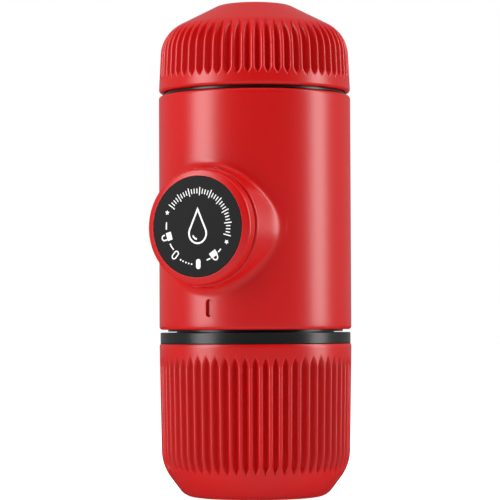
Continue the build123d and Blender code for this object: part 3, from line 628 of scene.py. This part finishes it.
grid_angle = math.radians(1.5)
grid_height = 1.0 * mm
patch_steps = (42, 27)          # half size of the patch round the boss, in grid steps
boss_rows = 60
guide_rows = 8
edge_steps = 6                  # in the wall's lower and upper round
face_steps = 5                  # in the round of the boss's face
low_row, high_row = 2.5 * mm, 2 * mm    # from the lower and the upper edge to the next row
upper_rows = 7                  # between the patch and the upper round
inner_row = 4 * mm              # from the patch to the next row up, inside

slot_size = (1.7 * mm, 5.2 * mm)
slot_depth = 1.1 * mm
slot_chamfer = 0.22 * mm
slot_height = body_bottom + 6.7 * mm
tool_flare = 2 * mm             # how far the cutting tool's chamfer runs on outside the body


def boss_size(depth):
    """Half width and half height of the boss at a depth behind its face's round."""
    depth = np.clip(depth, 0, boss_depth)
    sideways = side_draft * depth + side_spread * (depth / boss_depth) ** spread_power
    upright = top_growth * (1 - np.exp(-depth / growth_depth))
    return boss_radius + sideways, boss_radius + upright


def body_surface(angle, rays):
    """Distance from the pump axis and reach of the body's surface along rays from the main axis.

    Each row of rays lies at its angle round the pump axis. The surface is a soft union of the
    cylinder and the boss, and halving the range of lengths finds it.
    """
    softness = boss_blend_side + (boss_blend_top - boss_blend_side) * np.sin(angle) ** 2
    near, beyond = (np.full(rays.shape, length) for length in search_range)
    for _ in range(halvings):
        length = (near + beyond) / 2
        distance, reach = length * np.sin(rays), length * np.cos(rays)
        across, upright = distance * np.cos(angle), distance * np.sin(angle)
        cylinder = np.hypot(across, reach) - body_radius
        wide, tall = boss_size(boss_reach - boss_edge - reach)
        boss = (np.hypot(across / wide, upright / tall) - 1) * np.minimum(wide, tall)
        overlap = np.maximum(softness - np.abs(cylinder - boss), 0)
        inside = np.minimum(cylinder, boss) - overlap ** 2 / (4 * softness) < 0
        near, beyond = np.where(inside, length, near), np.where(inside, beyond, length)
    return distance, reach


def boss_foot(angle, far):
    """Rows from the boss's face down to the wall, each as distances and reaches of its columns.

    A column stands at an angle round the pump axis and ends at its far distance from it.
    """
    angle, far = angle[:, None], far[:, None]
    start = math.atan2(boss_radius, boss_reach - boss_edge)
    far_reach = np.sqrt(body_radius ** 2 - (far * np.cos(angle)) ** 2)
    rays = start + (np.arctan2(far, far_reach) - start) * np.linspace(0, 1, ray_steps)[None, :]
    columns = []
    for column in np.stack(body_surface(angle, rays), axis=-1):
        along = lengths(column)
        places = np.linspace(0, 1, boss_rows + 1) * along[-1]
        columns.append([np.interp(places, along, column[:, i]) for i in (0, 1)])
    return np.array(columns).transpose(2, 1, 0)


def patch_border(middle):
    """Grid positions (column, row) round the patch about a middle row, anticlockwise."""
    wide, tall = patch_steps
    right = [(wide, k) for k in range(-tall, tall)]
    top = [(k, tall) for k in range(wide, -wide, -1)]
    left = [(-wide, k) for k in range(tall, -tall, -1)]
    bottom = [(k, -tall) for k in range(-wide, wide)]
    return [(column, middle + row) for column, row in right + top + left + bottom]


def body_section():
    """Closed section of the wall, (radius, height), and its two rows level with the pump axis.

    The rows of the patch round the boss stand grid_height apart, outside and inside.
    """
    tall = patch_steps[1]
    patch = pump_height + grid_height * np.arange(-tall, tall + 1)
    low_round = [(body_radius - edge_round * (1 - math.sin(turn)),
                  body_bottom + edge_round * (1 - math.cos(turn)))
                 for turn in np.linspace(0, math.pi / 2, edge_steps + 1)]
    high_round = [(radius, body_top + body_bottom - z) for radius, z in reversed(low_round)]
    upper = np.linspace(patch[-1], body_top - high_row, upper_rows + 1)[1:]
    outer = [(body_inner, body_bottom), *low_round, (body_radius, body_bottom + low_row)]
    outer_middle = len(outer) + tall
    outer += [(body_radius, z) for z in (*patch, *upper)]
    outer += high_round
    inner = [(body_inner, body_top), (body_inner, patch[-1] + inner_row)]
    inner_middle = len(outer) + len(inner) + tall
    inner += [(body_inner, z) for z in patch[::-1]]
    return np.array(outer + inner), outer_middle, inner_middle


def wall_faces(rows, columns, middles):
    """Faces of the wall's grid without those of the patches about the middle rows."""
    wide, tall = patch_steps
    cells = grid_faces(rows, columns, closed_rows=True)
    row, column = np.divmod(np.arange(len(cells)), columns)
    in_front = (column + wide) % columns < 2 * wide
    hole = np.zeros(len(cells), bool)
    for middle in middles:
        hole |= in_front & (row >= middle - tall) & (row < middle + tall)
    return cells[~hole]


def guide_rings(unit, rim):
    """Rows on the wall's inside from the patch's rim in to the guide tube."""
    tube_x = guide_radius * unit[:, 0]
    start_angle = np.arctan2(tube_x, np.sqrt(body_inner ** 2 - tube_x ** 2))
    start_height = pump_height + guide_radius * unit[:, 1]
    end_angle = np.arctan2(rim[:, 0], -rim[:, 1])
    rings = []
    for share in np.linspace(1, 0, guide_rows + 1)[1:]:
        turn = start_angle + (end_angle - start_angle) * share
        height = start_height + (rim[:, 2] - start_height) * share
        rings.append(np.stack([body_inner * np.sin(turn), -body_inner * np.cos(turn), height],
                              axis=1))
    return rings


def boss_rings(unit, angle, far):
    """Rows from the guide tube's inner end through its bore, over the face and down the boss."""
    places = [(guide_radius, guide_end), (guide_bore, guide_end), (guide_bore, boss_reach)]
    for turn in np.linspace(0, math.pi / 2, face_steps + 1):
        places.append((boss_radius - boss_edge * (1 - math.sin(turn)),
                       boss_reach - boss_edge * (1 - math.cos(turn))))
    places += list(boss_foot(angle, far)[1:-1])
    rings = []
    for distance, reach in places:
        x, z = distance * unit.T
        rings.append(np.stack([x, np.broadcast_to(-reach, len(unit)), pump_height + z], axis=1))
    return rings


def add_body_shell():
    """The wall's grid with its patch in front filled by rings: the inside, the guide, the boss."""
    section, outer_middle, inner_middle = body_section()
    columns = round(2 * math.pi / grid_angle)
    grid = turned(section[:, 0:1], section[:, 1:2], grid_angle * np.arange(columns))
    outer_edge = [row * columns + column % columns for column, row in patch_border(outer_middle)]
    inner_edge = [(2 * inner_middle - row) * columns + column % columns
                  for column, row in patch_border(inner_middle)]
    across, upright = grid[outer_edge, 0], grid[outer_edge, 2] - pump_height
    angle = np.arctan2(upright, across)
    unit = np.stack([np.cos(angle), np.sin(angle)], axis=1)
    rings = guide_rings(unit, grid[inner_edge])
    rings += boss_rings(unit, angle, np.hypot(across, upright))
    numbers = len(grid) + np.arange(len(rings) * len(unit)).reshape(len(rings), len(unit))
    chain = [np.array(inner_edge), *numbers, np.array(outer_edge)]
    faces = [wall_faces(len(section), columns, (outer_middle, inner_middle))]
    for one, other in zip(chain, chain[1:]):
        faces.append(np.stack([one, other, np.roll(other, -1), np.roll(one, -1)], axis=1))
    shell = piece("body_casing", np.concatenate([grid, *rings]), np.concatenate(faces),
                  "red_plastic", "body", "body_shell")
    cut_slot(shell)


def slot_tool():
    """A stadium-shaped prism at the index slot, wider outside the body by the slot's chamfer."""
    width, height = slot_size
    levels = (
        (body_radius - slot_depth, 0),
        (body_radius - slot_chamfer, 0),
        (body_radius + tool_flare, slot_chamfer + tool_flare),
    )
    vertices = []
    for reach, wider in levels:
        outline = stadium(width + 2 * wider, height + 2 * wider) + (0, slot_height)
        vertices += [(x, -reach, z) for x, z in outline]
    count = len(vertices) // len(levels)
    faces = grid_faces(len(levels), count).tolist()
    faces += [list(range(count))[::-1], list(range(len(vertices) - count, len(vertices)))]
    mesh = bpy.data.meshes.new("slot_tool")
    mesh.from_pydata(vertices, [], faces)
    return linked("slot_tool", mesh)


def cut_slot(shell):
    """Cuts the index slot into the front of the body."""
    tool = slot_tool()
    cut = shell.modifiers.new("slot", "BOOLEAN")
    cut.operation = "DIFFERENCE"
    cut.solver = "EXACT"
    cut.object = tool
    bpy.context.view_layer.update()
    evaluated = shell.evaluated_get(bpy.context.evaluated_depsgraph_get())
    mesh = bpy.data.meshes.new_from_object(evaluated)
    shell.modifiers.clear()
    shell.data = mesh
    bpy.data.objects.remove(tool)


# ---------------------------------------------------------------- button
skirt_radius = 16.25 * mm
skirt_bore = 14.0 * mm
skirt_end = 13.2 * mm           # reach of its open end, inside the body
hollow_end = 33.0 * mm          # and of the bottom of its bore
button_gap = 0.3 * mm           # between the boss's face and the button's head
crown_fall = 0.85 * mm          # from the disc's edge to the head's
face_seat = 1.2 * mm            # thickness of the disc
face_gap = 0.05 * mm            # round the disc
axis_hole = 0.1 * mm            # radius at which the turned outlines stop short of the axis
plain_round = 0.3 * mm          # of the skirt's end and the head's back
crown_round = 1.15 * mm
lip_round, disc_round = 0.12 * mm, 0.2 * mm     # where the head and the disc meet


def add_button():
    """The button: a hollow skirt and a head with a crowned rim and the disc's seat."""
    back, seat = boss_reach + button_gap, knob_front - face_seat
    corners = (
        (skirt_bore, hollow_end), (skirt_bore, skirt_end), (skirt_radius, skirt_end),
        (skirt_radius, back), (knob_radius, back), (knob_radius, knob_front - crown_fall),
        (face_radius, knob_front), (face_radius, seat), (axis_hole, seat),
        (axis_hole, hollow_end), (skirt_bore, hollow_end),
    )
    rounds = (plain_round, plain_round, 0, plain_round, crown_round, lip_round, 0, 0, 0)
    outline = rounded(corners, rounds)[:-1]
    pump_piece("button", outline, "red_plastic", "knob", "knob_shell")


def add_button_face():
    """The black disc set into the button."""
    edge, seat = face_radius - face_gap, knob_front - face_seat
    corners = ((axis_hole, seat), (edge, seat), (edge, knob_front), (axis_hole, knob_front))
    pump_piece("button_face", rounded(corners, (0, disc_round)), "black_face", "knob", "knob_face")


# ---------------------------------------------------------------- marks on the button's face
# A mark's place is its distance from the face's middle and an angle in degrees, 90 at the
# top, or its offset from the middle to the right and up.
mark_height = 0.03 * mm
mark_line = 0.42 * mm
bar_size, bar_place = (1.57 * mm, 3.1 * mm), (0.4 * mm, -11.45 * mm)
dot_radius, dot_distance = 0.27 * mm, 11.6 * mm
dot_angles = (-99.6, -104.8, -109.9, -115.2, -119.9)
ring_size, ring_line = (1.35 * mm, 2.65 * mm), 0.36 * mm
ring_distance, ring_angle = 11.5 * mm, -131.8
star_radius, star_waist = 0.78 * mm, 0.5
star_distance, star_angles = 11.35 * mm, (156.8, -25.5)
icon_distance = 10.8 * mm       # of the two padlocks and the arcs beside them
padlocks = ((196, True), (-56, False))          # angle, and whether it is open
arc_spans = ((172, 184), (208, 220), (-72, -65), (-47, -40))
tick_count, tick_line = 33, 0.30 * mm
tick_start, tick_step = 145, 5
long_tick, short_tick = (9.5 * mm, 12.1 * mm), (10.1 * mm, 11.6 * mm)
long_every = 4
drop_size, drop_place, drop_line = (6.0 * mm, 10.4 * mm), (0.2 * mm, 0.1 * mm), 0.55 * mm
glint_radius, glint_span = 1.75 * mm, (200, 262)
glint_place, glint_line = (0.2 * mm, -2.1 * mm), 0.5 * mm

lock_half, lock_low, lock_high = 1.25 * mm, -1.5 * mm, 0.25 * mm
shackle_radius, shackle_height, shackle_foot = 0.78 * mm, 0.62 * mm, 0.1 * mm
open_lift, open_foot = 0.55 * mm, 0.75 * mm


def circle(radius, count, start=0, end=360):
    """Points on an arc between two angles in degrees; a full circle leaves out the last."""
    angles = np.radians(np.linspace(start, end, count, endpoint=end - start < 360))
    return np.stack([radius * np.cos(angles), radius * np.sin(angles)], axis=1)


def placed(points, distance, angle):
    """Points drawn upright, moved outward at an angle in degrees with their top outward."""
    turn = math.radians(angle - 90)
    moved = np.asarray(points) + (0, distance)
    return np.stack([moved[:, 0] * math.cos(turn) - moved[:, 1] * math.sin(turn),
                     moved[:, 0] * math.sin(turn) + moved[:, 1] * math.cos(turn)], axis=1)


def plate(outline):
    """A filled mark: its points once for each of two levels, and its faces."""
    count = len(outline)
    faces = [list(range(count))[::-1], list(range(count, 2 * count))]
    faces += [[k, (k + 1) % count, count + (k + 1) % count, count + k] for k in range(count)]
    return np.concatenate([outline, outline]), faces


def line(points, width, closed=False):
    """A mark of even width along points, given as plate gives one."""
    points = np.asarray(points, float)
    ahead = np.roll(points, -1, axis=0) - points
    behind = points - np.roll(points, 1, axis=0)
    if not closed:
        ahead[-1], behind[0] = behind[-1], ahead[0]
    ahead /= np.linalg.norm(ahead, axis=1)[:, None]
    behind /= np.linalg.norm(behind, axis=1)[:, None]
    along = ahead + behind
    side = np.stack([-along[:, 1], along[:, 0]], axis=1)
    side /= (1 + np.sum(ahead * behind, axis=1))[:, None]
    left, right = points + side * width / 2, points - side * width / 2
    count = len(points)
    vertices = np.concatenate([left, right, left, right])
    faces = []
    for k in range(count if closed else count - 1):
        n = (k + 1) % count
        faces.append([k, n, count + n, count + k])
        faces.append([2 * count + k, 3 * count + k, 3 * count + n, 2 * count + n])
        faces.append([k, 2 * count + k, 2 * count + n, n])
        faces.append([count + k, count + n, 3 * count + n, 3 * count + k])
    if not closed:
        last = count - 1
        faces.append([0, count, 3 * count, 2 * count])
        faces.append([last, 2 * count + last, 3 * count + last, count + last])
    return vertices, faces


def stadium(width, height):
    """Upright outline with round ends."""
    radius = width / 2
    top = circle(radius, 9, 0, 180) + (0, height / 2 - radius)
    bottom = circle(radius, 9, 180, 360) - (0, height / 2 - radius)
    return np.concatenate([top, bottom])


def star():
    """Outline of a star with five points, one of them at the top."""
    reach = np.tile([star_radius, star_radius * star_waist], 5)[:, None]
    return circle(1, 10, 90, 450) * reach


def drop(width, height):
    """Outline of a drop of water: a round foot with straight sides up to a point."""
    radius = width / 2
    rise = height - radius
    touch = math.degrees(math.acos(radius / rise))
    foot = circle(radius, 33, 90 + touch, 450 - touch)
    return np.concatenate([foot, [(0, rise)]]) + (0, radius - height / 2)


def padlock(opened):
    """Outline of a padlock's body and line of its shackle, clear on one side if it is open."""
    outline = [(-lock_half, lock_low), (lock_half, lock_low), (lock_half, lock_high),
               (-lock_half, lock_high)]
    height = shackle_height + (open_lift if opened else 0)
    right = (shackle_radius, open_foot if opened else shackle_foot)
    left = (-shackle_radius, shackle_foot)
    arch = circle(shackle_radius, 11, 0, 180) + (0, height)
    return outline, np.concatenate([[right], arch, [left]])


def scale():
    """Marks of the scale: ticks from the upper left over the top and down the right side."""
    ticks = []
    for k in range(tick_count):
        inner, outer = long_tick if k % long_every == 0 else short_tick
        tick = placed([(0, inner), (0, outer)], 0, tick_start - tick_step * k)
        ticks.append(line(tick, tick_line))
    return ticks


def mark_shapes():
    """All marks: index bar, dots, ring, stars, padlocks with arcs, scale and a drop."""
    ring = placed(stadium(*ring_size), ring_distance, ring_angle)
    shapes = [plate(stadium(*bar_size) + bar_place), line(ring, ring_line, closed=True)]
    for angle in dot_angles:
        shapes.append(plate(placed(circle(dot_radius, 12), dot_distance, angle)))
    for angle in star_angles:
        shapes.append(plate(placed(star(), star_distance, angle)))
    for angle, opened in padlocks:
        outline, shackle = padlock(opened)
        shapes.append(plate(placed(outline, icon_distance, angle)))
        shapes.append(line(placed(shackle, icon_distance, angle), mark_line))
    for span in arc_spans:
        shapes.append(line(circle(icon_distance, 8, *span), mark_line))
    shapes += scale()
    shapes.append(line(drop(*drop_size) + drop_place, drop_line, closed=True))
    shapes.append(line(circle(glint_radius, 9, *glint_span) + glint_place, glint_line))
    return shapes


def add_marks():
    """White print on the black disc."""
    vertices, faces, count = [], [], 0
    for flat, shape_faces in mark_shapes():
        reach = np.repeat([knob_front, knob_front + mark_height], len(flat) // 2)
        vertices.append(np.stack([flat[:, 0], -reach, pump_height + flat[:, 1]], axis=1))
        faces += [[count + index for index in face] for face in shape_faces]
        count += len(flat)
    piece("face_marks", np.concatenate(vertices), faces, "white_print", "knob")


# ---------------------------------------------------------------- threads
thread_rise = 0.22 * mm
thread_foot = 1.3 * mm          # width of a ridge where it leaves the cylinder
thread_crest = 0.6 * mm         # and at its top
thread_sunk = 0.15 * mm         # how deep its base lies inside the cylinder
thread_steps = 40
thread_fade = 5                 # steps in which its ends rise
thread_least = 0.02             # share of the rise at the very ends


def add_thread(name, radius, start, lead, starts, sweep, body):
    """Short right-hand ridges of a quick thread on a cylinder, run out at both ends."""
    vertices, faces = [], []
    for first in range(starts):
        base = len(vertices)
        for k in range(thread_steps + 1):
            turn = sweep * k / thread_steps
            angle = 2 * math.pi * first / starts + turn
            height = start + lead * turn / (2 * math.pi) + thread_foot / 2
            full = math.sqrt(min(1, k / thread_fade, (thread_steps - k) / thread_fade))
            sunk, crest = radius - thread_sunk, radius + thread_rise * max(full, thread_least)
            half = ((sunk, thread_foot / 2), (radius, thread_foot / 2), (crest, thread_crest / 2))
            section = [*half, *((reach, -rise) for reach, rise in reversed(half))]
            vertices += [(reach * math.cos(angle), reach * math.sin(angle), height + rise)
                         for reach, rise in section]
        faces += (base + grid_faces(thread_steps + 1, len(section))).tolist()
        faces.append(list(range(base, base + len(section)))[::-1])
        faces.append(list(range(len(vertices) - len(section), len(vertices))))
    piece(name, vertices, faces, "dark_plastic", body)


# ---------------------------------------------------------------- springs
def add_spring(node):
    """A copy of a spring's node that stands in its place."""
    spring = linked("moving_" + node, nodes[node].data.copy())
    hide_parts(node)
    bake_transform(spring)


# ---------------------------------------------------------------- main
def paint_nodes():
    """Gives every CAD node the material of its slot."""
    for part in frame["record"]["subparts"]:
        mesh = nodes[part["node"]].data
        mesh.materials.clear()
        mesh.materials.append(materials[part["material_slot"]])


add_camera()
add_lights()
add_tent()
add_world()
add_floor()

materials = make_materials()
paint_nodes()
add_tank_shell()
add_cup()
add_body_shell()
add_button()
add_button_face()
add_marks()
add_thread("tank_thread", radius=25.0 * mm, start=43.7 * mm, lead=9 * mm, starts=4,
           sweep=math.radians(72), body="body")
add_spring("return_spring")
add_spring("valve_spring")
add_thread("head_thread", radius=25.6 * mm, start=122.7 * mm, lead=7.5 * mm, starts=3,
           sweep=math.radians(105), body="head")

bpy.context.scene.view_settings.view_transform = "Standard"
